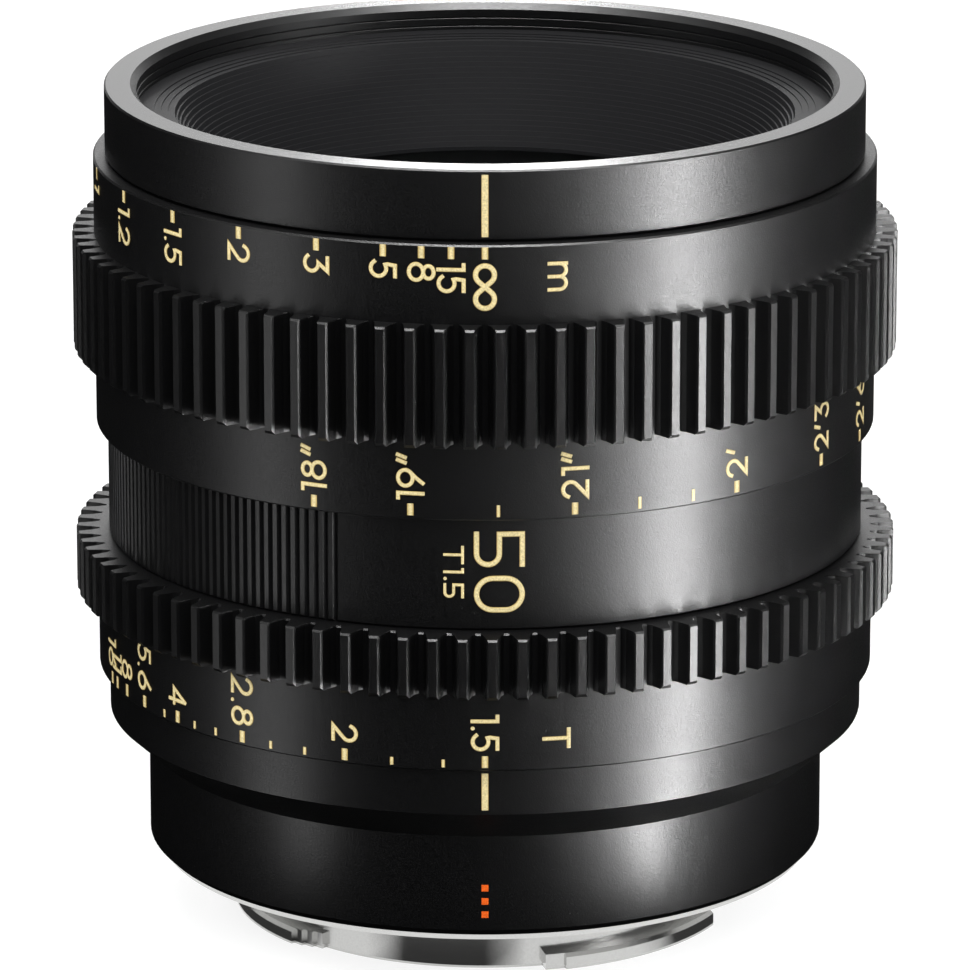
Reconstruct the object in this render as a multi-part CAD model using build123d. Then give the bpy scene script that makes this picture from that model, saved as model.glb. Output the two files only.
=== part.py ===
from build123d import *
import os
from math import asin, atan2, cos, degrees, hypot, radians, sin, sqrt

os.makedirs("parts", exist_ok=True)

# Cinema prime lens, 50 mm T1.5, standing on its mount with the front up.
# Millimetres and degrees. The origin is the centre of the mount flange's rear face and +Z runs
# along the optical axis to the front. The focal length and the orange mount squares face -Y,
# which is FRONT_ANGLE, and index lines stand on that side and on the opposite one.
# A positive turn of either ring is counter-clockwise from the front: closer focus, smaller stop.

FRONT_ANGLE = -90

# Optics and travel
focal_length = 50
close_focus = 450
focus_lead = 12.6
iris_travel = 73
blade_travel = 34

# Clearances
running_gap = 0.06
ring_seam = 0.07
washer_gap = 0.05
loose_gap = 0.5
overrun = 2

# Heights of the outside, from the flange face up
flange_rim_height = 0.57
shell_height = 9.17
cone_height = 3.13
rear_barrel_height = 4.12
iris_ring_height = 12.29
mid_barrel_height = 9.85
focus_ring_height = 24.07
front_ring_height = 6.17

# Radii of the outside, where each barrel and ring adds a wall to the guide barrel's radius
flange_rim_radius = 29.1
shell_radius = 30.13
guide_radius = 31
rear_barrel_wall = 2.58
mid_barrel_wall = 2.48
front_ring_wall = 2.45
ring_wall = 3.49
edge_bevel = 0.15
front_ring_lower_bevel = 0.25

# Gears of 0.8 module on both rings
gear_module = 0.8
gear_addendum = 0.8
tooth_height = 1.91
tooth_tip_width = 0.7
tooth_brow_width = 0.95
tooth_brow_depth = 0.25
tooth_shoulder_width = 1.45
tooth_shoulder_depth = 1.4
tooth_root_width = 1.98
gear_top_chamfer = 0.17
gear_bottom_chamfer = 0.35
focus_gear_lift = 6.74
focus_gear_width = 10.45
focus_tooth_angle = -2.01
iris_gear_width = 5.42
iris_tooth_angle = 1.02

# Fixed backbone
guide_wall = 2.44
guide_flange_bore = 25
guide_flange_height = 3
rear_floor_height = 1.86
guide_reach = 2.55
guide_angles = (30, 150, 270)

# Mount
tube_radius = 21
tube_length = 5.5
tube_bore = 18.6
baffle_seat_radius = 19.2
baffle_seat_depth = 2.5
lug_radius = 22.55
lug_height = 1.4
lug_chamfer = 0.3
lug_step = 0.35
right_lug_start = 18.5
right_lug_sweep = 46.15
right_shoulder_sweep = 4.6
left_lug_start = -105
left_lug_sweep = 55.5
left_shoulder_sweep = 2.5
left_shoulder_steps = 3
rear_lug_start = 137.5
rear_lug_sweep = 50
mount_step_radius = 28.3
mount_step_height = 1.2
light_baffle_thickness = 1.6
light_window_width = 27
light_window_height = 20
light_window_corner = 2
shell_bore = 24
shell_chamfer_width = 0.63
index_square_size = 0.6
index_square_pitch = 1.21
index_square_count = 3
index_square_lift = 2.05
inlay_depth = 0.1

# Screws
mount_screw_angles = (45, 135, 225, 315)
mount_screw_circle = 25.7
mount_screw_radius = 1
mount_screw_head_radius = 1.9
mount_screw_length = 6
shell_screw_angles = (90, 210, 330)
shell_screw_circle = 26.9
shell_screw_radius = 0.8
shell_screw_head_radius = 1.35
shell_screw_head_height = 1.2
shell_screw_seat = 5
screw_slot_width = 0.5
screw_slot_depth = 0.4
stop_shank_radius = 0.6
stop_head_radius = 0.9
stop_inset = 0.2
focus_stop_angle = 90
iris_stop_angle = 270
lock_screw_radius = 0.7
lock_screw_length = 2.6
lock_screw_angles = (0, 120, 240)

# Barrel details
index_line_width = 0.6
index_line_margin = 0.4
grip_first = 22.4
grip_pitch = 1.55
grip_count = 88
grip_width = 0.5
grip_depth = 0.25

# Front ring and hood baffle
filter_lip = 0.4
filter_chamfer = 0.55
thread_pitch = 0.75
thread_groove_width = 0.16
thread_groove_depth = 0.1
thread_grooves = 2
hood_flange_gap = 0.05
hood_flange_height = 1.2
hood_ledge_bore = 27.25
hood_ledge_steps = 3
hood_step_width = 0.6
hood_step_depth = 0.1
hood_mouth_bore = 21.8
hood_lip_height = 0.35
hood_ridges = 20
hood_ridge_depth = 0.15
hood_clearance = 0.4

# Washers
washer_thickness = 0.5
washer_inset = 0.1

# Focus sleeve and followers
sleeve_wall = 1.14
sleeve_top_inset = 0.45
slot_width = 2.5
follower_radius = 1.2
follower_bore = 0.6
follower_lift = 5.33
slot_end_angle = 0.5
slot_end_gap = 0.1
notch_gap = 0.1
shoulder_radius = 0.55
shoulder_depth = 2.7
shoulder_head_radius = 0.85
shoulder_head_height = 0.4
collar_gap = 0.05

# Iris ring pocket and drive bar
drive_angle = 90
block_lift = 1.98
block_height = 3.6
block_width = 5
block_depth = 0.3
bar_width = 3
bar_inner = 26.7
bar_outer = 28.3
bar_overlap = 1.8
window_margin = 0.5

# Lens carrier, with the heights of its steps
carrier_bottom = 15
carrier_top = 48
carrier_rear_bore = 20.5
rotor_seat = 25.2
rotor_bore = 25.15
pivot_seat = 27.9
pivot_bore = 25.6
channel_radius = 26.4
channel_margin = 1.5

# Iris
blade_count = 9
open_aperture = 13.5
blade_width = 6.2
blade_span = 125
blade_thickness = 0.1
blade_pitch = 0.16
blade_start = 26.3
blade_tail = 4
pivot_circle = 21
pivot_stud_radius = 0.6
pivot_hole_gap = 0.03
pivot_ear_radius = 1.3
drive_reach = 5.6
drive_lead = 66
drive_stud_radius = 0.4
drive_ear_radius = 0.8
drive_slot_gap = 0.05
slot_path_steps = 8
rotor_thickness = 0.8
rotor_inner = 14.7
rotor_outer = 25
fork_radius = 28.1
fork_prong = 1.5
fork_gap = 0.03
fork_root = 26.5
pivot_plate_thickness = 1
pivot_plate_bore = 14

# Glass. A positive radius bulges to the front, a negative one to the rear.
front_radius = 21
second_radius = 18
iris_side_radius = 13.5
rear_radius = 15
first_front = (48, 50)
first_back = (150, 44.5)
second_front = (27, 44)
cemented_front = (60, 38)
third_back = (17.5, 36)
third_clear = 13.5
fourth_front = (-17.5, 20.5)
fourth_clear = 11.8
cemented_rear = (80, 18.7)
fifth_back = (-24, 12.7)
sixth_front = (200, 12.2)
sixth_back = (-38, 7.2)
seventh_front = (60, 6.8)
seventh_back = (-120, 2.8)

# Cells and the rings that hold the glass
glass_gap = 0.02
front_cell_flange = 28.3
front_cell_flange_height = 2.3
front_cell_bore = 21.8
front_seat_depth = 0.24
second_lip_bore = 17
second_lip_height = 2
retaining_inner = 20
retaining_height = 3.9
retaining_flare = 0.9
inner_ring_bore = 13.8
rear_cell_radius = 19
rear_cell_flange = 24
rear_cell_flange_height = 2
rear_cell_bottom = 2.2
rear_cell_top_inset = 0.3
nose_radius = 14.5
nose_lip_bore = 12.2
nose_lip_height = 0.5
spacer_inner = 12.9
spacer_shoulder_gap = 0.3
rear_spacer_inner = 14
rear_ring_radius = 15.6

# Radii worked out from the sizes above
rear_barrel_radius = guide_radius + rear_barrel_wall
mid_barrel_radius = guide_radius + mid_barrel_wall
front_ring_radius = guide_radius + front_ring_wall
ring_radius = guide_radius + ring_wall
gear_teeth = round(2 * (ring_radius + tooth_height - gear_addendum) / gear_module)
gear_tip_radius = gear_module * gear_teeth / 2 + gear_addendum
guide_bore = guide_radius - guide_wall
carrier_radius = guide_bore - running_gap
filter_bore = guide_radius - filter_lip
hood_flange_radius = guide_radius - hood_flange_gap
sleeve_bore = guide_radius + running_gap
sleeve_radius = sleeve_bore + sleeve_wall
washer_radius = sleeve_radius - washer_inset
block_radius = sleeve_radius + block_depth
blade_outer = open_aperture + blade_width

# Heights worked out from the sizes above
shell_bottom = flange_rim_height
shell_top = shell_bottom + shell_height
cone_top = shell_top + cone_height
rear_barrel_top = cone_top + rear_barrel_height
iris_ring_bottom = rear_barrel_top + ring_seam
iris_ring_top = iris_ring_bottom + iris_ring_height
mid_barrel_bottom = iris_ring_top + ring_seam
mid_barrel_top = mid_barrel_bottom + mid_barrel_height
focus_ring_bottom = mid_barrel_top + ring_seam
focus_ring_top = focus_ring_bottom + focus_ring_height
front_ring_bottom = focus_ring_top + ring_seam
front_ring_top = front_ring_bottom + front_ring_height
guide_bottom = shell_top + rear_floor_height
guide_top = front_ring_bottom + guide_reach
sleeve_bottom = mid_barrel_top + washer_thickness + washer_gap
sleeve_top = focus_ring_top - sleeve_top_inset
follower_height = mid_barrel_top + follower_lift
iris_pocket_top = rear_barrel_top + washer_thickness + washer_gap
block_bottom = iris_ring_bottom + block_lift
block_top = block_bottom + block_height
rotor_bottom = rotor_seat + 2 * washer_gap
rotor_top = rotor_bottom + rotor_thickness

# Travel of the lens group from infinity to close focus, and the turn that gives it
conjugate = close_focus - 2 * focal_length
group_travel = (conjugate - sqrt(conjugate**2 - 4 * focal_length**2)) / 2
focus_travel = 360 * group_travel / focus_lead
bar_top = rotor_top + group_travel + bar_overlap
drive_rest_angle = drive_angle - iris_travel / 2


def turned(*corners):
    """A turned piece, from its corners as (radius, height)."""
    outline = Polyline(*[(radius, 0, height) for radius, height in corners], close=True)
    return revolve(make_face(outline), Axis.Z)


def tube(outer, inner, bottom, top):
    """A plain ring."""
    return turned((inner, bottom), (outer, bottom), (outer, top), (inner, top))


def sector(outer, inner, bottom, top, start, sweep):
    """A stretch of a plain ring, counter-clockwise from the start angle."""
    corners = [(inner, 0, bottom), (outer, 0, bottom), (outer, 0, top), (inner, 0, top)]
    section = Rot(0, 0, start) * make_face(Polyline(*corners, close=True))
    return revolve(section, Axis.Z, sweep)


def radial_pin(radius, inner, outer, angle, height):
    """A round pin that points away from the axis."""
    pin = Cylinder(radius, outer - inner, align=(Align.CENTER, Align.CENTER, Align.MIN))
    return Rot(0, 0, angle) * Pos(inner, 0, height) * Rot(0, 90, 0) * pin


def axial_pin(radius, bottom, top, angle, circle):
    """A round pin along the axis of the lens, on a circle about it."""
    pin = Cylinder(radius, top - bottom, align=(Align.CENTER, Align.CENTER, Align.MIN))
    return Rot(0, 0, angle) * Pos(circle, 0, bottom) * pin


def radial_block(inner, outer, width, bottom, top, angle):
    """A square block that points away from the axis."""
    block = Box(outer - inner, width, top - bottom, align=(Align.MIN, Align.CENTER, Align.MIN))
    return Rot(0, 0, angle) * Pos(inner, 0, bottom) * block


def angle_of(width, radius):
    """Angle that half a width takes up at a radius."""
    return degrees(asin(width / 2 / radius))


def screw_slot(head_radius, height, angle, circle):
    """Driver slot in a head that faces the rear."""
    slot = Box(2 * head_radius, screw_slot_width, 2 * screw_slot_depth)
    return Rot(0, 0, angle) * Pos(circle, 0, height) * slot


# Casing, from the mount up


def lug(start, sweep, steps, step_sweep, step_side):
    """One bayonet lug, with a stepped shoulder at its start or its end."""
    bottom = -tube_length
    top = bottom + lug_height
    inner = tube_radius - loose_gap
    angle = FRONT_ANGLE + start
    solid = sector(lug_radius, inner, bottom, top, angle, sweep)
    solid -= turned(
        (lug_radius - lug_chamfer, top),
        (lug_radius + lug_chamfer, top - 2 * lug_chamfer),
        (lug_radius + lug_chamfer, top),
    )
    for step in range(steps):
        outer = lug_radius - (step + 1) * lug_step
        offset = -(step + 1) * step_sweep if step_side < 0 else sweep + step * step_sweep
        solid += sector(outer, inner, bottom, top, angle + offset, step_sweep)
    return solid


def bayonet_mount():
    plate_top = shell_bottom + mount_step_height
    seat = baffle_seat_depth - tube_length
    solid = turned(
        (baffle_seat_radius, -tube_length),
        (tube_radius, -tube_length),
        (tube_radius, 0),
        (flange_rim_radius, 0),
        (flange_rim_radius, shell_bottom),
        (mount_step_radius, shell_bottom),
        (mount_step_radius, plate_top),
        (tube_bore, plate_top),
        (tube_bore, seat),
        (baffle_seat_radius, seat),
    )
    solid += lug(right_lug_start, right_lug_sweep, 1, right_shoulder_sweep, -1)
    solid += lug(left_lug_start, left_lug_sweep, left_shoulder_steps, left_shoulder_sweep, 1)
    solid += lug(rear_lug_start, rear_lug_sweep, 1, right_shoulder_sweep, -1)
    solid -= mount_screw_shapes()
    return solid


def mount_screw_shapes():
    """The four countersunk screws as plain shapes, which also cut their holes."""
    taper = mount_screw_head_radius - mount_screw_radius
    screw = turned(
        (0, 0),
        (mount_screw_head_radius, 0),
        (mount_screw_radius, taper),
        (mount_screw_radius, mount_screw_length),
        (0, mount_screw_length),
    )
    return [Rot(0, 0, angle) * Pos(mount_screw_circle, 0, 0) * screw for angle in mount_screw_angles]


def mount_screws():
    slots = [
        screw_slot(mount_screw_head_radius, 0, angle, mount_screw_circle)
        for angle in mount_screw_angles
    ]
    return [screw - slots for screw in mount_screw_shapes()]


def rear_light_baffle():
    """Disc in the rear of the tube, with the window that the picture passes through."""
    top = baffle_seat_depth - tube_length
    window = RectangleRounded(light_window_width, light_window_height, light_window_corner)
    section = Circle(baffle_seat_radius) - window
    return Pos(0, 0, top - light_baffle_thickness) * extrude(section, light_baffle_thickness)


def shell_screw_shapes():
    """The three screws that clamp shell, rear barrel and guide barrel together."""
    top = guide_bottom + guide_flange_height - stop_inset
    head_bottom = shell_screw_seat - shell_screw_head_height
    shapes = []
    for angle in shell_screw_angles:
        head = axial_pin(
            shell_screw_head_radius, head_bottom, shell_screw_seat, angle, shell_screw_circle
        )
        shank = axial_pin(shell_screw_radius, shell_screw_seat, top, angle, shell_screw_circle)
        shapes.append(head + shank)
    return shapes


def shell_screws():
    head_bottom = shell_screw_seat - shell_screw_head_height
    slots = [
        screw_slot(shell_screw_head_radius, head_bottom, angle, shell_screw_circle)
        for angle in shell_screw_angles
    ]
    return [screw - slots for screw in shell_screw_shapes()]


def index_square_shapes():
    """Three small inlaid squares that mark the mount's index."""
    half_angle = angle_of(index_square_size, shell_radius)
    inner = shell_radius - inlay_depth
    squares = []
    for row in range(index_square_count):
        bottom = flange_rim_height + index_square_lift + row * index_square_pitch - index_square_size / 2
        top = bottom + index_square_size
        start = FRONT_ANGLE - half_angle
        squares.append(sector(shell_radius, inner, bottom, top, start, 2 * half_angle))
    return squares


def mount_shell():
    plate_top = shell_bottom + mount_step_height
    solid = turned(
        (mount_step_radius, shell_bottom),
        (shell_radius - shell_chamfer_width, shell_bottom),
        (shell_radius, shell_bottom + shell_chamfer_width),
        (shell_radius, shell_top),
        (shell_bore, shell_top),
        (shell_bore, plate_top),
        (mount_step_radius, plate_top),
    )
    solid -= mount_screw_shapes()
    solid -= shell_screw_shapes()
    solid -= [
        axial_pin(shell_screw_head_radius, plate_top, shell_screw_seat, angle, shell_screw_circle)
        for angle in shell_screw_angles
    ]
    solid -= index_square_shapes()
    return solid


def index_lines(radius, bottom, top):
    """Inlaid lines on a barrel's front and back, from which the two pairs of scales are read."""
    half_angle = angle_of(index_line_width, radius)
    inner = radius - inlay_depth
    return [
        sector(radius, inner, bottom, top, angle - half_angle, 2 * half_angle)
        for angle in (FRONT_ANGLE, FRONT_ANGLE + 180)
    ]


def rear_index_line():
    return index_lines(
        rear_barrel_radius, cone_top + index_line_margin, rear_barrel_top - index_line_margin
    )


def rear_barrel():
    solid = turned(
        (guide_flange_bore, shell_top),
        (shell_radius, shell_top),
        (rear_barrel_radius, cone_top),
        (rear_barrel_radius, rear_barrel_top - edge_bevel),
        (rear_barrel_radius - edge_bevel, rear_barrel_top),
        (guide_radius, rear_barrel_top),
        (guide_radius, guide_bottom),
        (guide_flange_bore, guide_bottom),
    )
    solid -= shell_screw_shapes()
    solid -= rear_index_line()
    return solid


def guide_slot(angle):
    """Straight slot that keeps the lens group from turning."""
    plane = Plane(
        origin=(guide_bore - overrun, 0, follower_height + group_travel / 2),
        x_dir=(0, 0, 1),
        z_dir=(1, 0, 0),
    )
    outline = plane * SlotCenterToCenter(group_travel + 2 * slot_end_gap, slot_width)
    return Rot(0, 0, angle) * extrude(outline, guide_radius - guide_bore + 2 * overrun)


def drive_sweep(width, radius, margin):
    """Start angle and sweep that let a block of this width travel with the iris ring."""
    half_angle = iris_travel / 2 + angle_of(width, radius) + degrees(margin / radius)
    return drive_angle - half_angle, 2 * half_angle


def stop_height(bottom):
    """Height of a stop screw whose head clears the edge above the given height."""
    return bottom + notch_gap + stop_head_radius


focus_stop_height = stop_height(sleeve_bottom)
iris_stop_height = stop_height(iris_pocket_top)


def stop_screw(angle, height):
    shank_inner = guide_bore + stop_inset
    solid = radial_pin(stop_shank_radius, shank_inner, guide_radius, angle, height)
    return solid + radial_pin(stop_head_radius, guide_radius, washer_radius, angle, height)


def stop_notch(angle, travel, bottom, height, outer):
    """Groove that the stop screw runs in: the ring turns forward, so it reaches back."""
    mid_radius = (guide_radius + washer_radius) / 2
    end_angle = degrees((stop_head_radius + slot_end_gap) / mid_radius)
    top = height + stop_head_radius + notch_gap
    start = angle - travel - end_angle
    return sector(outer, guide_radius - overrun, bottom, top, start, travel + 2 * end_angle)


def guide_barrel():
    solid = turned(
        (guide_flange_bore, guide_bottom),
        (guide_radius, guide_bottom),
        (guide_radius, guide_top),
        (guide_bore, guide_top),
        (guide_bore, guide_bottom + guide_flange_height),
        (guide_flange_bore, guide_bottom + guide_flange_height),
    )
    solid -= [guide_slot(angle) for angle in guide_angles]
    solid -= shell_screw_shapes()
    start, sweep = drive_sweep(block_width, guide_bore, window_margin)
    bottom = block_bottom - notch_gap
    top = block_top + notch_gap
    solid -= sector(guide_radius + overrun, guide_bore - overrun, bottom, top, start, sweep)
    for angle, height in (
        (focus_stop_angle, focus_stop_height),
        (iris_stop_angle, iris_stop_height),
    ):
        hole_inner = guide_bore - overrun
        solid -= radial_pin(stop_shank_radius, hole_inner, guide_radius, angle, height)
    return solid


def mid_barrel():
    """Fixed barrel between the rings, with a patch of fine upright ribs to grip."""
    groove = Polygon(
        (mid_barrel_radius + grip_depth, grip_width),
        (mid_barrel_radius - grip_depth, 0),
        (mid_barrel_radius + grip_depth, -grip_width),
        align=None,
    )
    grooves = [
        Rot(0, 0, FRONT_ANGLE - grip_first - index * grip_pitch) * groove
        for index in range(grip_count)
    ]
    section = Circle(mid_barrel_radius) - Circle(guide_radius) - grooves
    solid = Pos(0, 0, mid_barrel_bottom) * extrude(section, mid_barrel_height)
    low = mid_barrel_bottom
    high = mid_barrel_top
    return solid & turned(
        (guide_radius - overrun, low),
        (mid_barrel_radius - edge_bevel, low),
        (mid_barrel_radius, low + edge_bevel),
        (mid_barrel_radius, high - edge_bevel),
        (mid_barrel_radius - edge_bevel, high),
        (guide_radius - overrun, high),
    )


def front_index_line():
    return index_lines(
        front_ring_radius, front_ring_bottom + index_line_margin, front_ring_top - index_line_margin
    )


def front_ring():
    """Front ring, with the filter thread and a pocket that clamps the hood baffle."""
    shoulder = guide_top + hood_flange_height
    corners = [
        (guide_radius, front_ring_bottom),
        (front_ring_radius - front_ring_lower_bevel, front_ring_bottom),
        (front_ring_radius, front_ring_bottom + front_ring_lower_bevel),
        (front_ring_radius, front_ring_top - edge_bevel),
        (front_ring_radius - edge_bevel, front_ring_top),
        (filter_bore + filter_chamfer, front_ring_top),
        (filter_bore, front_ring_top - filter_chamfer),
    ]
    for index in range(thread_grooves):
        height = front_ring_top - filter_chamfer - (index + 1) * thread_pitch
        corners += [
            (filter_bore, height + thread_groove_width / 2),
            (filter_bore + thread_groove_depth, height),
            (filter_bore, height - thread_groove_width / 2),
        ]
    corners += [(filter_bore, shoulder), (guide_radius, shoulder)]
    return turned(*corners) - front_index_line()


def hood_baffle():
    """Stepped ledge, then a ridged wall that narrows to a thin lip and stops stray light."""
    bottom = carrier_top + front_cell_flange_height + group_travel + hood_clearance
    ledge = guide_top + hood_flange_height
    corners = [
        (carrier_radius, bottom),
        (carrier_radius, guide_top),
        (hood_flange_radius, guide_top),
        (hood_flange_radius, ledge),
    ]
    for step in range(hood_ledge_steps):
        radius = hood_ledge_bore + (hood_ledge_steps - step) * hood_step_width
        height = ledge - step * hood_step_depth
        corners += [(radius, height), (radius, height - hood_step_depth)]
    wall_top = ledge - hood_ledge_steps * hood_step_depth
    wall_bottom = bottom + hood_lip_height
    rise = (wall_top - wall_bottom) / hood_ridges
    run = (hood_ledge_bore - hood_mouth_bore) / hood_ridges
    for ridge in range(hood_ridges):
        radius = hood_ledge_bore - ridge * run
        height = wall_top - ridge * rise
        corners += [(radius, height), (radius - run + hood_ridge_depth, height - rise)]
    corners += [(hood_mouth_bore, wall_bottom), (hood_mouth_bore, bottom)]
    return turned(*corners)


def front_slip_washer():
    return tube(washer_radius, sleeve_bore, sleeve_top + washer_gap, front_ring_bottom)


def rear_slip_washer():
    return tube(washer_radius, sleeve_bore, mid_barrel_top, mid_barrel_top + washer_thickness)


def iris_slip_washer():
    return tube(washer_radius, sleeve_bore, rear_barrel_top, rear_barrel_top + washer_thickness)


# The two rings that turn


def tooth():
    """Section of one gear tooth, pointing along X."""
    half_root = tooth_root_width / 2
    base = sqrt(ring_radius**2 - half_root**2)
    upper = [
        (gear_tip_radius, tooth_tip_width / 2),
        (gear_tip_radius - tooth_brow_depth, tooth_brow_width / 2),
        (gear_tip_radius - tooth_shoulder_depth, tooth_shoulder_width / 2),
        (base, half_root),
        (base - loose_gap, half_root),
    ]
    lower = [(along, -across) for along, across in reversed(upper)]
    return Polygon(*upper, *lower, align=None)


def geared_ring(bottom, top, gear_bottom, gear_top, tooth_angle):
    """A control ring with a gear round it, still without its bore."""
    body = turned(
        (0, bottom),
        (ring_radius - edge_bevel, bottom),
        (ring_radius, bottom + edge_bevel),
        (ring_radius, top - edge_bevel),
        (ring_radius - edge_bevel, top),
        (0, top),
    )
    first = FRONT_ANGLE + tooth_angle
    teeth = [Rot(0, 0, first + 360 * index / gear_teeth) * tooth() for index in range(gear_teeth)]
    section = Circle(ring_radius - edge_bevel) + teeth
    gear = Pos(0, 0, gear_bottom) * extrude(section, gear_top - gear_bottom)
    gear &= turned(
        (0, gear_bottom),
        (gear_tip_radius - gear_bottom_chamfer, gear_bottom),
        (gear_tip_radius, gear_bottom + gear_bottom_chamfer),
        (gear_tip_radius, gear_top - gear_top_chamfer),
        (gear_tip_radius - gear_top_chamfer, gear_top),
        (0, gear_top),
    )
    return body + gear


def lock_screw_shapes():
    """Grub screws in the seam between focus ring and cam sleeve, which lock the two."""
    bottom = sleeve_top - lock_screw_length
    return [
        axial_pin(lock_screw_radius, bottom, sleeve_top, angle, sleeve_radius)
        for angle in lock_screw_angles
    ]


def focus_ring():
    gear_bottom = focus_ring_bottom + focus_gear_lift
    gear_top = gear_bottom + focus_gear_width
    solid = geared_ring(focus_ring_bottom, focus_ring_top, gear_bottom, gear_top, focus_tooth_angle)
    solid -= tube(sleeve_radius, 0, focus_ring_bottom - overrun, focus_ring_top + overrun)
    solid -= lock_screw_shapes()
    return solid


def helical_slot(angle):
    """Slot that lifts a follower by the group's travel as the ring turns."""
    mid_radius = (sleeve_bore + sleeve_radius) / 2
    depth = sleeve_radius - sleeve_bore + 2 * loose_gap
    extra_rise = slot_end_angle * focus_lead / 360
    path = Helix(focus_lead, group_travel + 2 * extra_rise, mid_radius, lefthand=True)
    start = Plane(origin=path @ 0, x_dir=(1, 0, 0), z_dir=path % 0)
    cutter = sweep(start * Rectangle(depth, slot_width), path=path, is_frenet=True)
    ends = [
        radial_pin(slot_width / 2, mid_radius - depth / 2, mid_radius + depth / 2, turn, rise)
        for turn, rise in (
            (0, 0),
            (-focus_travel - 2 * slot_end_angle, group_travel + 2 * extra_rise),
        )
    ]
    place = Rot(0, 0, angle + slot_end_angle) * Pos(0, 0, follower_height - extra_rise)
    return [place * piece for piece in (cutter, *ends)]


def focus_cam_sleeve():
    solid = tube(sleeve_radius, sleeve_bore, sleeve_bottom, sleeve_top)
    for angle in guide_angles:
        solid -= helical_slot(angle)
    solid -= stop_notch(
        focus_stop_angle,
        focus_travel,
        sleeve_bottom - overrun,
        focus_stop_height,
        sleeve_radius + overrun,
    )
    solid -= lock_screw_shapes()
    return solid


def drive_block(inner):
    """Foot of the drive bar, which also cuts its pocket in the iris ring."""
    return radial_block(inner, block_radius, block_width, block_bottom, block_top, drive_rest_angle)


def iris_ring():
    gear_bottom = iris_ring_top - iris_gear_width
    solid = geared_ring(
        iris_ring_bottom, iris_ring_top, gear_bottom, iris_ring_top, iris_tooth_angle
    )
    solid -= tube(sleeve_bore, 0, iris_ring_bottom - overrun, iris_ring_top + overrun)
    solid -= tube(sleeve_radius, 0, iris_ring_bottom - overrun, iris_pocket_top)
    solid -= stop_notch(
        iris_stop_angle, iris_travel, iris_pocket_top, iris_stop_height, sleeve_radius
    )
    solid -= drive_block(guide_bore)
    return solid


def iris_drive_bar():
    """Bar on the iris ring, along which the rotor's fork slides while the lens focuses."""
    bar = radial_block(bar_inner, bar_outer, bar_width, block_bottom, bar_top, drive_rest_angle)
    return bar + drive_block(bar_outer - running_gap)


# Lens group


def carrier_channel():
    """Room for the drive bar and the rotor's fork along the outside of the carrier."""
    start, sweep = drive_sweep(2 * fork_prong + bar_width, channel_radius, channel_margin)
    top = bar_top + loose_gap
    return sector(
        carrier_radius + overrun, channel_radius, carrier_bottom - overrun, top, start, sweep
    )


def lens_carrier():
    solid = turned(
        (carrier_rear_bore, carrier_bottom),
        (carrier_radius, carrier_bottom),
        (carrier_radius, carrier_top),
        (pivot_bore, carrier_top),
        (pivot_bore, pivot_seat),
        (rotor_bore, pivot_seat),
        (rotor_bore, rotor_seat),
        (carrier_rear_bore, rotor_seat),
    )
    solid -= carrier_channel()
    start, sweep = drive_sweep(2 * fork_prong + bar_width, rotor_bore, channel_margin)
    window_top = rotor_top + 2 * washer_gap
    solid -= sector(channel_radius + loose_gap, rotor_bore - loose_gap, rotor_seat, window_top,
                    start, sweep)
    for angle in guide_angles:
        solid -= radial_pin(
            shoulder_radius, pivot_bore - overrun, carrier_radius + overrun, angle, follower_height
        )
    return solid


def guide_collars():
    """Collars that slide in the straight slots of the guide barrel."""
    inner = carrier_radius + collar_gap
    outer = guide_radius - collar_gap
    return [
        radial_pin(follower_radius, inner, outer, angle, follower_height)
        - radial_pin(follower_bore, inner - overrun, outer + overrun, angle, follower_height)
        for angle in guide_angles
    ]


def cam_collars():
    """Collars that ride in the helical slots of the cam sleeve."""
    inner = guide_radius + collar_gap
    outer = sleeve_radius - collar_gap
    seat = outer - shoulder_head_height
    head_hole = shoulder_head_radius + collar_gap
    return [
        radial_pin(follower_radius, inner, outer, angle, follower_height)
        - radial_pin(follower_bore, inner - overrun, seat + overrun, angle, follower_height)
        - radial_pin(head_hole, seat, outer + overrun, angle, follower_height)
        for angle in guide_angles
    ]


def collar_screws():
    """Shoulder screws that hold a guide collar and a cam collar to the carrier."""
    outer = sleeve_radius - collar_gap
    seat = outer - shoulder_head_height
    inner = carrier_radius - shoulder_depth
    return [
        radial_pin(shoulder_radius, inner, seat, angle, follower_height)
        + radial_pin(shoulder_head_radius, seat, outer, angle, follower_height)
        for angle in guide_angles
    ]


def surface_height(surface, radius):
    """Height of a lens surface, given as (curvature radius, vertex height), off the axis."""
    curve, vertex = surface
    sag = abs(curve) - sqrt(curve**2 - radius**2)
    return vertex - sag if curve > 0 else vertex + sag


def lens(front, back, radius, front_clear=None, back_clear=None):
    """A lens between two spherical surfaces, flat outside a clear radius where one is given."""
    edges = []
    ends = []
    for surface, clear in ((front, front_clear or radius), (back, back_clear or radius)):
        vertex = (0, 0, surface[1])
        middle = (clear / 2, 0, surface_height(surface, clear / 2))
        rim = (clear, 0, surface_height(surface, clear))
        edges.append(ThreePointArc(vertex, middle, rim))
        outside = (radius, 0, rim[2])
        if clear < radius:
            edges.append(Line(rim, outside))
        ends.append(outside)
    edges.append(Line(ends[0], ends[1]))
    edges.append(Line((0, 0, front[1]), (0, 0, back[1])))
    return revolve(make_face(edges), Axis.Z)


def front_element():
    return lens(first_front, first_back, front_radius)


def second_element():
    return lens(second_front, cemented_front, second_radius)


def third_element():
    return lens(cemented_front, third_back, second_radius, back_clear=third_clear)


def fourth_element():
    return lens(fourth_front, cemented_rear, iris_side_radius, front_clear=fourth_clear)


def fifth_element():
    return lens(cemented_rear, fifth_back, iris_side_radius)


def sixth_element():
    return lens(sixth_front, sixth_back, rear_radius)


def seventh_element():
    return lens(seventh_front, seventh_back, rear_radius)


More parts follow.
